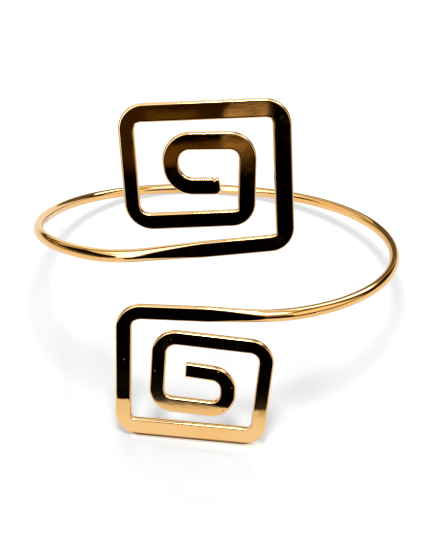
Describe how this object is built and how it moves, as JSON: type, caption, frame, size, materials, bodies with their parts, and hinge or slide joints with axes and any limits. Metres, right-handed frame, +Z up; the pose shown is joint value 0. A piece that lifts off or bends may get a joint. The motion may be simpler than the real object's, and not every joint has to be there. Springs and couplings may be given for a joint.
{
  "type": "upper arm cuff",
  "caption": "Open upper arm cuff of one bent wire, each end flattened into a strip and coiled into a square spiral, standing leaned back.",
  "frame": {"origin": "middle of the bounding box in X and Y, at the surface that the cuff stands on", "axes": "+Z up, -Y the front that both spirals face, +X the viewer's right"},
  "size_m": [0.0864, 0.0894, 0.0689],
  "materials": {
    "gold_plate": "mirror-polished gold plate over brass"
  },
  "bodies": {
    "root": {"wire_cuff": "gold_plate"}
  },
  "joints": []
}
